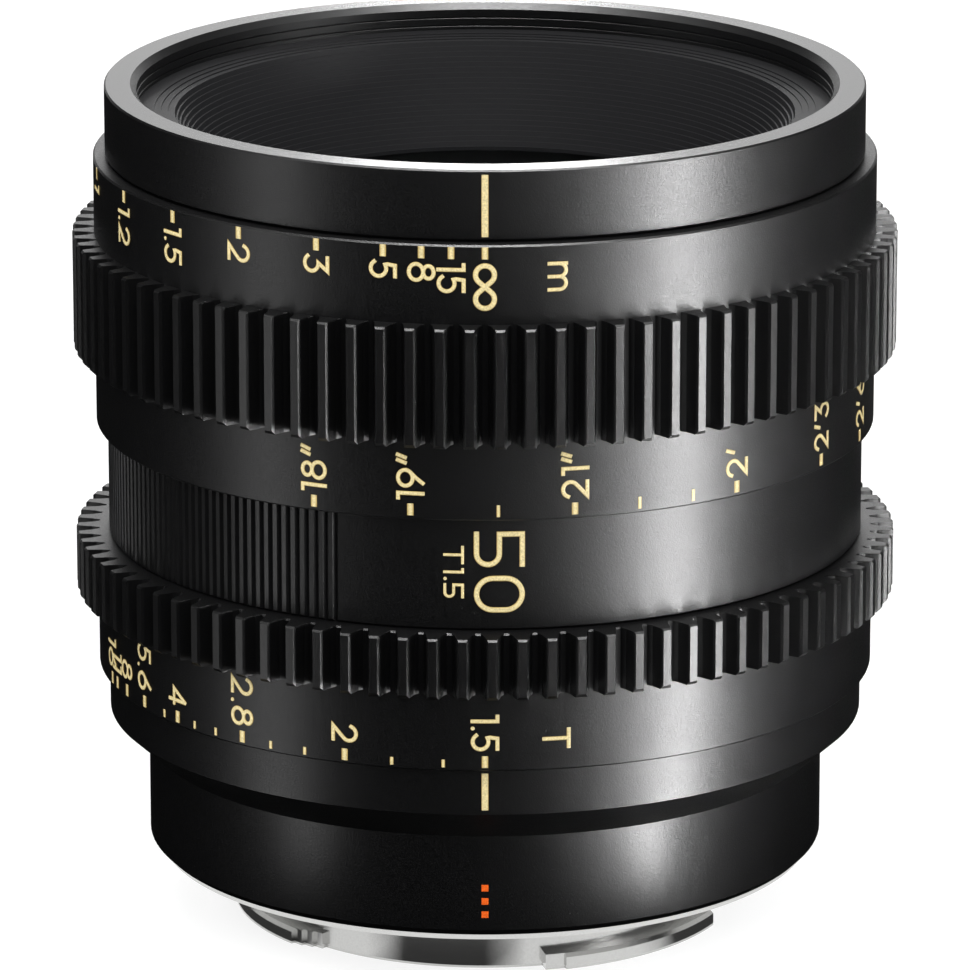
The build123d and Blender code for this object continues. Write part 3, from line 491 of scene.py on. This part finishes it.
def arc(centre_x, centre_y, radius_x, radius_y, start, end):
    """Points of an elliptic arc from one angle to another."""
    steps = max(2, round(abs(end - start) / ARC_STEP))
    turns = [math.radians(start + (end - start) * step / steps) for step in range(steps + 1)]
    return [
        (centre_x + radius_x * math.cos(turn), centre_y + radius_y * math.sin(turn))
        for turn in turns
    ]


def six():
    bowl = arc(0.33, 0.3, 0.33, 0.3, 0, 360)
    return 0.66, [bowl, [(0.52, 1), (0.3, 0.72)] + arc(0.33, 0.3, 0.33, 0.3, 140, 165)]


def infinity():
    """Two loops on crossing tangents, with a stroke for each so that one passes over the other."""
    reach = math.sqrt(INFINITY_CENTRE**2 - INFINITY_LOOP**2)
    lean = math.asin(INFINITY_LOOP / INFINITY_CENTRE)
    turn = 90 + math.degrees(lean)
    middle = INFINITY_CENTRE + INFINITY_LOOP
    strokes = []
    for side, first in ((1, turn), (-1, 180 - turn)):
        sweep = -2 * turn if side == 1 else 2 * turn
        loop = arc(
            middle + side * INFINITY_CENTRE, 0.5, INFINITY_LOOP, INFINITY_LOOP, first, first + sweep
        )
        across = (middle - side * reach * math.cos(lean), 0.5 + reach * math.sin(lean))
        strokes.append(loop + [across])
    return 2 * middle, strokes


# Each numeral is its width and its strokes, on a height of one between the strokes' middles.
# V stands for the wide, square-shouldered five of the mid barrel, and ~ for infinity.
six_width, six_strokes = six()
GLYPHS = {
    "0": (0.72, [
        arc(0.36, 0.64, 0.36, 0.36, 0, 180) + arc(0.36, 0.36, 0.36, 0.36, 180, 360)
        + [(0.72, 0.64)],
    ]),
    "1": (0.2, [[(0, 1), (0.2, 1), (0.2, 0)]]),
    "2": (0.7, [arc(0.33, 0.69, 0.31, 0.31, 160, -40) + [(0.4, 0.33), (0.04, 0), (0.62, 0)]]),
    "3": (0.62, [[(0.04, 1), (0.58, 1), (0.27, 0.6)] + arc(0.29, 0.3, 0.33, 0.3, 90, -145)]),
    "4": (0.66, [[(0.48, 1), (0, 0.27), (0.64, 0.27)], [(0.5, 0.95), (0.5, 0)]]),
    "5": (0.58, [[(0.55, 1), (0.12, 1), (0.05, 0.53)] + arc(0.26, 0.32, 0.32, 0.32, 128, -145)]),
    "6": (six_width, six_strokes),
    "7": (0.6, [[(0, 1), (0.6, 1), (0.18, 0)]]),
    "8": (0.66, [arc(0.33, 0.29, 0.33, 0.29, 0, 360), arc(0.33, 0.79, 0.26, 0.21, 0, 360)]),
    "9": (six_width, [[(six_width - x, 1 - y) for x, y in stroke] for stroke in six_strokes]),
    "T": (0.9, [[(0, 1), (0.9, 1)], [(0.45, 0.95), (0.45, 0)]]),
    "m": (1.6, [
        [(0, 1), (0, 0)],
        arc(0.4, 0.6, 0.4, 0.4, 180, 0) + [(0.8, 0)],
        arc(1.2, 0.6, 0.4, 0.4, 180, 0) + [(1.6, 0)],
    ]),
    "'": (0.1, [[(0.1, 1), (0, 0.72)]]),
    '"': (0.32, [[(0.1, 1), (0, 0.72)], [(0.32, 1), (0.22, 0.72)]]),
    "V": (0.69, [
        [(0.685, 1), (0, 1), (0, 0.5), (0.44, 0.5)] + arc(0.44, 0.25, 0.25, 0.25, 90, -90)
        + [(0, 0)],
    ]),
    "~": infinity(),
}


def stroke_rows(path, stroke):
    """Four points across the stroke for each point along it, mitred at the corners."""
    closed = math.dist(path[0], path[-1]) < STROKE_JOIN
    fine = [path[0]]
    for start, end in zip(path, path[1:]):
        pieces = math.ceil(math.dist(start, end) / STEP_LENGTH - STROKE_JOIN)
        for piece in range(1, pieces + 1):
            share = piece / pieces
            fine.append((
                start[0] + (end[0] - start[0]) * share, start[1] + (end[1] - start[1]) * share,
            ))
    if closed:
        fine.pop()
    count = len(fine)
    rows = []
    for index, (x, y) in enumerate(fine):
        before = fine[index - 1] if index or closed else None
        after = fine[(index + 1) % count] if index < count - 1 or closed else None
        ways = []
        for start, end in ((before, (x, y)), ((x, y), after)):
            if start and end:
                length = math.dist(start, end)
                ways.append(((end[0] - start[0]) / length, (end[1] - start[1]) / length))
        way_x = sum(way[0] for way in ways) / len(ways)
        way_y = sum(way[1] for way in ways) / len(ways)
        size = max(way_x * way_x + way_y * way_y, MITRE_LIMIT)
        rows.append([
            (x - way_y / size * stroke * offset, y + way_x / size * stroke * offset)
            for offset in STROKE_COLUMNS
        ])
    return rows, closed


def squared(path, stroke):
    """The path with half a stroke added at both ends, unless it closes on itself."""
    if math.dist(path[0], path[-1]) < STROKE_JOIN:
        return path
    ends = []
    for end, beside in ((path[0], path[1]), (path[-1], path[-2])):
        more = stroke / 2 / math.dist(end, beside)
        ends.append((end[0] + (end[0] - beside[0]) * more, end[1] + (end[1] - beside[1]) * more))
    return [ends[0]] + path[1:-1] + [ends[1]]


def text_strokes(text, height, stroke, squeeze=1.0):
    """The rows of every stroke of a line of text, and the line's length, in millimetres.

    A full stop is a ring so narrow that it closes into a dot.
    """
    reach = height - stroke
    cursor = 0.0
    strokes = []
    for letter in text:
        if letter == ".":
            dot = arc(cursor + stroke / 2, stroke / 2, stroke / 4, stroke / 4, 0, 360)
            strokes.append(stroke_rows(dot, stroke / 2))
            cursor += stroke + LETTER_GAP
            continue
        width, paths = GLYPHS[letter]
        for path in paths:
            moved = [
                (cursor + stroke / 2 + x * reach * squeeze, stroke / 2 + y * reach) for x, y in path
            ]
            strokes.append(stroke_rows(moved if letter == "~" else squared(moved, stroke), stroke))
        cursor += width * reach * squeeze + stroke + LETTER_GAP
    return strokes, cursor - LETTER_GAP


def add_text(corners, faces, edge_shades, strokes, radius, side_angle, start, height, downward):
    """Wraps the strokes on a barrel as thin closed strips of paint that read up or down it."""
    way = 1 if downward else -1
    for layer, (rows, closed) in enumerate(strokes):
        outer = radius + PAINT_RISE + (layer % 4) * PAINT_LAYER
        first = len(corners)
        for row in rows:
            for level in (outer, radius - PAINT_DEPTH):
                for column, (along, across) in enumerate(row):
                    turn = side_angle + way * math.degrees((across - height / 2) / radius)
                    crown = PAINT_CROWN if level > radius and column in (1, 2) else 0
                    corners.append(around(turn, (level + crown) * MM, (start - way * along) * MM))
                    # The outer columns are marked for painted shade at the stroke's edges.
                    edge_shades.append(1.0 if column in (0, 3) else 0.0)
        count = len(rows)
        ring = (0, 1, 2, 3, 7, 6, 5, 4)
        for index in range(count if closed else count - 1):
            near = first + index * 8
            far = first + (index + 1) % count * 8
            for column in range(8):
                here, beside = ring[column], ring[(column + 1) % 8]
                faces.append((near + here, far + here, far + beside, near + beside))
        if not closed:
            last = first + (count - 1) * 8
            for column in range(3):
                near, far = first + column, last + column
                faces.append((near, near + 1, near + 5, near + 4))
                faces.append((far + 4, far + 5, far + 1, far))


def finish_piece(name, mesh, body):
    """A named piece of paint, which rides on a body."""
    piece = bpy.data.objects.new(name, mesh)
    bpy.context.collection.objects.link(piece)
    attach(piece, body)
    return piece


def make_text_piece(name, body, lines):
    """One mesh of paint for several lines of text.

    Each line gives its text, radius, angle, start, height, stroke, way down and squeeze.
    """
    corners, faces, edge_shades = [], [], []
    for text, radius, side_angle, start, height, stroke, downward, squeeze in lines:
        strokes, _ = text_strokes(text, height, stroke, squeeze)
        add_text(corners, faces, edge_shades, strokes, radius, side_angle, start, height, downward)
    mesh = bpy.data.meshes.new(name)
    mesh.from_pydata(corners, [], faces)
    # Stores where the gold is painted in shade.
    mesh.attributes.new("groove_shade_edge", "FLOAT", "POINT").data.foreach_set("value", edge_shades)
    mesh.materials.append(scale_gold)
    return finish_piece(name, mesh, body)


def groove_shade_edge(tree):
    """How near a point of the paint is to the edge of its groove, where its gold is painted in
    shade.
    """
    edge = tree.nodes.new("ShaderNodeAttribute")
    edge.attribute_name = "groove_shade_edge"
    return edge.outputs["Fac"]


scale_gold = make_edge_shaded_gold("scale_gold", groove_shade_edge)


def make_tick_tree():
    """Sets an upright bar of paint on every point, turned to face outwards, and marks its long
    sides for painted shade.
    """
    tree = bpy.data.node_groups.new("scale_ticks", "GeometryNodeTree")
    tree.interface.new_socket("Places", in_out="INPUT", socket_type="NodeSocketGeometry")
    tree.interface.new_socket("Width", in_out="INPUT", socket_type="NodeSocketFloat")
    tree.interface.new_socket("Length", in_out="INPUT", socket_type="NodeSocketFloat")
    tree.interface.new_socket("Depth", in_out="INPUT", socket_type="NodeSocketFloat")
    tree.interface.new_socket("Paint", in_out="INPUT", socket_type="NodeSocketMaterial")
    tree.interface.new_socket("Ticks", in_out="OUTPUT", socket_type="NodeSocketGeometry")
    given = tree.nodes.new("NodeGroupInput")
    result = tree.nodes.new("NodeGroupOutput")
    size = tree.nodes.new("ShaderNodeCombineXYZ")
    bar = tree.nodes.new("GeometryNodeMeshCube")
    bar.inputs["Vertices Y"].default_value = 4
    place = tree.nodes.new("GeometryNodeInputPosition")
    split = tree.nodes.new("ShaderNodeSeparateXYZ")
    side = tree.nodes.new("ShaderNodeMath")
    side.operation = "ABSOLUTE"
    limit = tree.nodes.new("ShaderNodeMath")
    limit.operation = "MULTIPLY"
    limit.inputs[1].default_value = TICK_SHADE_SHARE
    compare = tree.nodes.new("ShaderNodeMath")
    compare.operation = "GREATER_THAN"
    # Marks the bar's long sides, where the gold is painted in shade.
    store = tree.nodes.new("GeometryNodeStoreNamedAttribute")
    store.data_type = "FLOAT"
    store.domain = "POINT"
    store.inputs["Name"].default_value = "groove_shade_edge"
    values = {}
    for name in ("turn", "wide", "tall"):
        values[name] = tree.nodes.new("GeometryNodeInputNamedAttribute")
        values[name].data_type = "FLOAT"
        values[name].inputs["Name"].default_value = name
    turn = tree.nodes.new("ShaderNodeCombineXYZ")
    scale = tree.nodes.new("ShaderNodeCombineXYZ")
    scale.inputs["X"].default_value = 1.0
    spread = tree.nodes.new("GeometryNodeInstanceOnPoints")
    realize = tree.nodes.new("GeometryNodeRealizeInstances")
    paint = tree.nodes.new("GeometryNodeSetMaterial")
    link = tree.links.new
    link(given.outputs["Depth"], size.inputs["X"])
    link(given.outputs["Width"], size.inputs["Y"])
    link(given.outputs["Length"], size.inputs["Z"])
    link(size.outputs[0], bar.inputs["Size"])
    link(place.outputs[0], split.inputs[0])
    link(split.outputs["Y"], side.inputs[0])
    link(given.outputs["Width"], limit.inputs[0])
    link(side.outputs[0], compare.inputs[0])
    link(limit.outputs[0], compare.inputs[1])
    link(bar.outputs["Mesh"], store.inputs["Geometry"])
    link(compare.outputs[0], store.inputs["Value"])
    link(values["turn"].outputs["Attribute"], turn.inputs["Z"])
    link(values["wide"].outputs["Attribute"], scale.inputs["Y"])
    link(values["tall"].outputs["Attribute"], scale.inputs["Z"])
    link(given.outputs["Places"], spread.inputs["Points"])
    link(store.outputs[0], spread.inputs["Instance"])
    link(turn.outputs[0], spread.inputs["Rotation"])
    link(scale.outputs[0], spread.inputs["Scale"])
    link(spread.outputs[0], realize.inputs[0])
    link(realize.outputs[0], paint.inputs["Geometry"])
    link(given.outputs["Paint"], paint.inputs["Material"])
    link(paint.outputs[0], result.inputs[0])
    return tree


tick_tree = make_tick_tree()


def make_tick_piece(name, body, radius, bottom, ticks):
    """Ticks on a barrel, each with its angle, its width and its length against a full tick's."""
    centre = radius + (PAINT_RISE - PAINT_DEPTH) / 2
    places = bpy.data.meshes.new(name + "_places")
    places.from_pydata(
        [
            around(angle, centre * MM, (bottom + TICK_LENGTH * tall / 2) * MM)
            for angle, wide, tall in ticks
        ],
        [], [],
    )
    turns = [math.radians(angle - 90) for angle, wide, tall in ticks]
    for attribute, amounts in (
        ("turn", turns),
        ("wide", [wide for angle, wide, tall in ticks]),
        ("tall", [tall for angle, wide, tall in ticks]),
    ):
        places.attributes.new(attribute, "FLOAT", "POINT").data.foreach_set("value", amounts)
    holder = bpy.data.objects.new(name + "_places", places)
    bpy.context.collection.objects.link(holder)
    modifier = holder.modifiers.new("ticks", "NODES")
    modifier.node_group = tick_tree
    settings = {
        "Width": TICK_WIDTH * MM,
        "Length": TICK_LENGTH * MM,
        "Depth": (PAINT_RISE + PAINT_DEPTH) * MM,
        "Paint": scale_gold,
    }
    for socket in tick_tree.interface.items_tree:
        if socket.in_out == "INPUT" and socket.name in settings:
            modifier[socket.identifier] = settings[socket.name]
    graph = bpy.context.evaluated_depsgraph_get()
    mesh = bpy.data.meshes.new_from_object(holder.evaluated_get(graph))
    mesh.name = name
    bpy.data.objects.remove(holder)
    for attribute in ("turn", "wide", "tall"):
        if attribute in mesh.attributes:
            mesh.attributes.remove(mesh.attributes[attribute])
    return finish_piece(name, mesh, body)


def stop_scale(turned):
    """The lines of one stop scale, which read down to their ticks."""
    lines = []
    for text, angle in STOPS.items():
        _, length = text_strokes(text, NUMERAL_HEIGHT, NUMERAL_STROKE)
        lines.append((text, RING_RADIUS, turned + angle, STOP_TEXT_BOTTOM + length, NUMERAL_HEIGHT,
                      NUMERAL_STROKE, True, 1.0))
    letter, angle, top = STOP_LETTER
    lines.append((letter, RING_RADIUS, turned + angle, top, NUMERAL_HEIGHT, NUMERAL_STROKE, True,
                  STOP_LETTER_SQUEEZE))
    return lines


stop_ticks = [(turned + angle, 1.0, 1.0) for turned in (0, 180) for angle in STOPS.values()]
stop_ticks += [
    (turned + angle, MINOR_WIDTH, STOP_MINOR_LENGTH) for turned in (0, 180) for angle in STOP_MINORS
]
make_text_piece("stop_numerals", "iris_control", stop_scale(0) + stop_scale(180))
make_tick_piece("stop_ticks", "iris_control", RING_RADIUS, STOP_TICK_BOTTOM, stop_ticks)
dress(anodised_black, "iris_ring")
bar_steel = make_finish("bar_steel", BAR_STEEL, 1.0, 0.3, 6.0, 0.1)
dress(bar_steel, "iris_drive_bar")


# Mid barrel: a fixed ring of black anodised aluminium between the two gears, with fine
# upright grooves milled in its left side to grip. The focal length and the widest stop
# are engraved in front and filled with gold paint.

MID_RADIUS = 33.48
FOCAL_ANGLE = 2.09
FOCAL_HEIGHT = 4.364
FOCAL_STROKE = 0.475
FOCAL_LETTERS = (("V", 38.14), ("0", 34.23))
SPEED_ANGLE = -4.56
SPEED_HEIGHT = 1.78
SPEED_LETTERS = (
    ("T", 36.87, 0.262, 1.0), ("1", 34.89, 0.262, 0.75), (".", 34.09, 0.31, 1.0),
    ("V", 33.53, 0.262, 1.0),
)

dress(anodised_black, "mid_barrel")
make_text_piece("focal_length_numerals", "barrel", [
    (letter, MID_RADIUS, FOCAL_ANGLE, start, FOCAL_HEIGHT, FOCAL_STROKE, True, 1.0)
    for letter, start in FOCAL_LETTERS
])
make_text_piece("speed_numerals", "barrel", [
    (letter, MID_RADIUS, SPEED_ANGLE, start, SPEED_HEIGHT, stroke, True, squeeze)
    for letter, start, stroke, squeeze in SPEED_LETTERS
])


# Focus ring: black anodised aluminium with a 0.8 module gear, locked by three screws to the
# cam sleeve inside. The metre scale stands above the gear and the feet scale below, with
# their infinity marks on opposite sides, one for each index line.

SLEEVE_BRASS = (0.6, 0.42, 0.17)
FOCAL_LENGTH = 50.0
FOCUS_LEAD = 12.77
PRINCIPAL_GAP = 6.0
FOOT = 304.8
METRE_TICK_BOTTOM = 62.22
METRE_TEXT_TOP = 61.89
METRE_TEXT_ROOM = 5.1
FEET_TICK_BOTTOM = 39.71
FEET_TEXT_BOTTOM = 41.05
FEET_TEXT_ROOM = 4.35
METRES = (
    ("1", 1000), ("1.2", 1200), ("1.5", 1500), ("2", 2000), ("3", 3000), ("5", 5000),
    ("8", 8000), ("15", 15000), ("0.45", 450), ("0.5", 500), ("0.55", 550), ("0.6", 600),
    ("0.7", 700), ("0.8", 800),
)
FEET = (
    ('18"', 1.5), ('19"', 19 / 12), ('21"', 1.75), ("2'", 2), ("2'3", 2.25), ("2'6", 2.5),
    ("3'", 3), ("3'6", 3.5), ("4'", 4), ("5'", 5), ("7'", 7), ("10'", 10), ("20'", 20),
)
FEET_MINORS = (20 / 12, 22 / 12, 23 / 12)
METRE_LETTER = ("m", 10.2, 61.9)
METRE_LETTER_SIZE = (1.75, 0.34)
INFINITY_SIZE = (2.05, 0.46)


def focus_angle(distance):
    """How far round from infinity the ring stands for an object at this distance."""
    conjugate = distance - PRINCIPAL_GAP - 2 * FOCAL_LENGTH
    extension = (conjugate - math.sqrt(conjugate**2 - 4 * FOCAL_LENGTH**2)) / 2
    return 360 * extension / FOCUS_LEAD


def fit_text(text, room):
    """How far a numeral is squeezed to fit between its tick and the gear."""
    _, length = text_strokes(text, NUMERAL_HEIGHT, NUMERAL_STROKE)
    _, half_squeezed = text_strokes(text, NUMERAL_HEIGHT, NUMERAL_STROKE, 0.5)
    return 1 - max(length - room, 0) / (2 * (length - half_squeezed))


metre_lines = [
    (text, RING_RADIUS, -focus_angle(distance), METRE_TEXT_TOP, NUMERAL_HEIGHT,
     NUMERAL_STROKE, True, fit_text(text, METRE_TEXT_ROOM))
    for text, distance in METRES
]
metre_lines.append(("~", RING_RADIUS, 0.0, METRE_TEXT_TOP, *INFINITY_SIZE, True, 1.0))
letter, letter_angle, letter_top = METRE_LETTER
metre_lines.append((letter, RING_RADIUS, letter_angle, letter_top, *METRE_LETTER_SIZE, True, 1.0))
feet_lines = [
    (text, RING_RADIUS, 180 - focus_angle(feet * FOOT), FEET_TEXT_BOTTOM, NUMERAL_HEIGHT,
     NUMERAL_STROKE, False, fit_text(text, FEET_TEXT_ROOM))
    for text, feet in FEET
]
feet_lines.append(("~", RING_RADIUS, 180.0, FEET_TEXT_BOTTOM, *INFINITY_SIZE, False, 1.0))
make_text_piece("metre_numerals", "focus_control", metre_lines)
make_text_piece("feet_numerals", "focus_control", feet_lines)
make_tick_piece(
    "metre_ticks", "focus_control", RING_RADIUS, METRE_TICK_BOTTOM,
    [(0.0, 1.0, 1.0)] + [(-focus_angle(distance), 1.0, 1.0) for text, distance in METRES],
)
make_tick_piece(
    "feet_ticks", "focus_control", RING_RADIUS, FEET_TICK_BOTTOM,
    [(180.0, 1.0, 1.0)]
    + [(180 - focus_angle(feet * FOOT), 1.0, 1.0) for text, feet in FEET]
    + [(180 - focus_angle(feet * FOOT), MINOR_WIDTH, 1.0) for feet in FEET_MINORS],
)
dress(anodised_black, "focus_ring")
dress(make_finish("sleeve_brass", SLEEVE_BRASS, 1.0, 0.3, 6.0, 0.1), "focus_cam_sleeve")
dress(turned_steel, "focus_lock_screws")


# Lens carrier: an aluminium tube, blackened, that slides in the guide barrel. Three shoulder
# screws carry two brass collars each, one in the guide barrel's straight slot and one in the
# cam sleeve's helical slot.

COLLAR_BRASS = (0.7, 0.5, 0.2)

dress(inner_black, "lens_carrier")
collar_brass = make_finish("collar_brass", COLLAR_BRASS, 1.0, 0.25, 6.0, 0.1)
dress(collar_brass, "guide_collars", "cam_collars")
dress(turned_steel, "collar_screws")


# Cells, spacers and retaining rings: turned aluminium, blackened so that no light strays.
# Each retaining ring screws in against its glass and clamps it on a shoulder of the cell.

dress(
    inner_black,
    "front_cell", "front_retaining_ring", "inner_retaining_ring", "rear_cell", "spacer_ring",
    "rear_spacer_ring", "rear_retaining_ring",
)


# Glass: seven elements, ground and polished, with two cemented pairs. Their thin coating
# gives a faint green reflection.

GLASS_TINT = (0.93, 0.96, 0.97, 1)
GLASS_INDEX = 1.6
POLISH = 0.02
COATING = (0.13, 0.22, 0.17, 1)


def make_coated_glass():
    material = bpy.data.materials.new("coated_glass")
    material.use_nodes = True
    shader = material.node_tree.nodes["Principled BSDF"]
    shader.inputs["Base Color"].default_value = GLASS_TINT
    shader.inputs["Roughness"].default_value = POLISH
    shader.inputs["Transmission Weight"].default_value = 1.0
    shader.inputs["IOR"].default_value = GLASS_INDEX
    shader.inputs["Specular Tint"].default_value = COATING
    return material


dress(
    make_coated_glass(),
    "front_element", "second_element", "third_element", "fourth_element", "fifth_element",
    "sixth_element", "seventh_element",
)


# Iris: nine blades of blackened spring steel, each with a pivot stud in the plate above
# and a drive stud in a cam slot of the steel rotor below.

BLADE_BLACK = (0.02, 0.02, 0.022)

dress(inner_black, "iris_pivot_plate")
dress(bar_steel, "iris_rotor")
dress(
    make_finish("blade_black", BLADE_BLACK, 0.3, 0.4, 6.0, 0.1),
    *[f"iris_blade_{number}" for number in range(1, 10)],
)


# Front ring and hood baffle: black anodised aluminium. The ring carries the filter thread
# and the upper index lines, screws on the guide barrel, and clamps the ridged baffle.

LAND_ROUGHNESS = 0.22
LAND_DEPTH = 0.05
LAND_FLATNESS = 0.9


def make_land_finish():
    """The anodised black, with the up-facing land turned smoother than the rest."""
    material = make_anodised("front_ring_black")
    tree = material.node_tree
    shader = tree.nodes["Principled BSDF"]
    facing = tree.nodes.new("ShaderNodeNewGeometry")
    split = tree.nodes.new("ShaderNodeSeparateXYZ")
    flat = tree.nodes.new("ShaderNodeMath")
    flat.operation = "GREATER_THAN"
    flat.inputs[1].default_value = LAND_FLATNESS
    blend = tree.nodes.new("ShaderNodeMix")
    blend.inputs[3].default_value = LAND_ROUGHNESS
    depth = tree.nodes.new("ShaderNodeMapRange")
    depth.inputs["To Min"].default_value = ANODISED_DEPTH
    depth.inputs["To Max"].default_value = LAND_DEPTH
    grain = [node for node in tree.nodes if node.type == "GROUP"][0]
    tree.links.new(flat.outputs[0], depth.inputs["Value"])
    tree.links.new(depth.outputs[0], grain.inputs["Strength"])
    tree.links.new(facing.outputs["True Normal"], split.inputs[0])
    tree.links.new(split.outputs["Z"], flat.inputs[0])
    tree.links.new(flat.outputs[0], blend.inputs[0])
    tree.links.new(shader.inputs["Roughness"].links[0].from_socket, blend.inputs[2])
    tree.links.new(blend.outputs[0], shader.inputs["Roughness"])
    return material


dress(make_land_finish(), "front_ring")
dress(index_gold, "front_index_line")
dress(baffle_black, "hood_baffle")
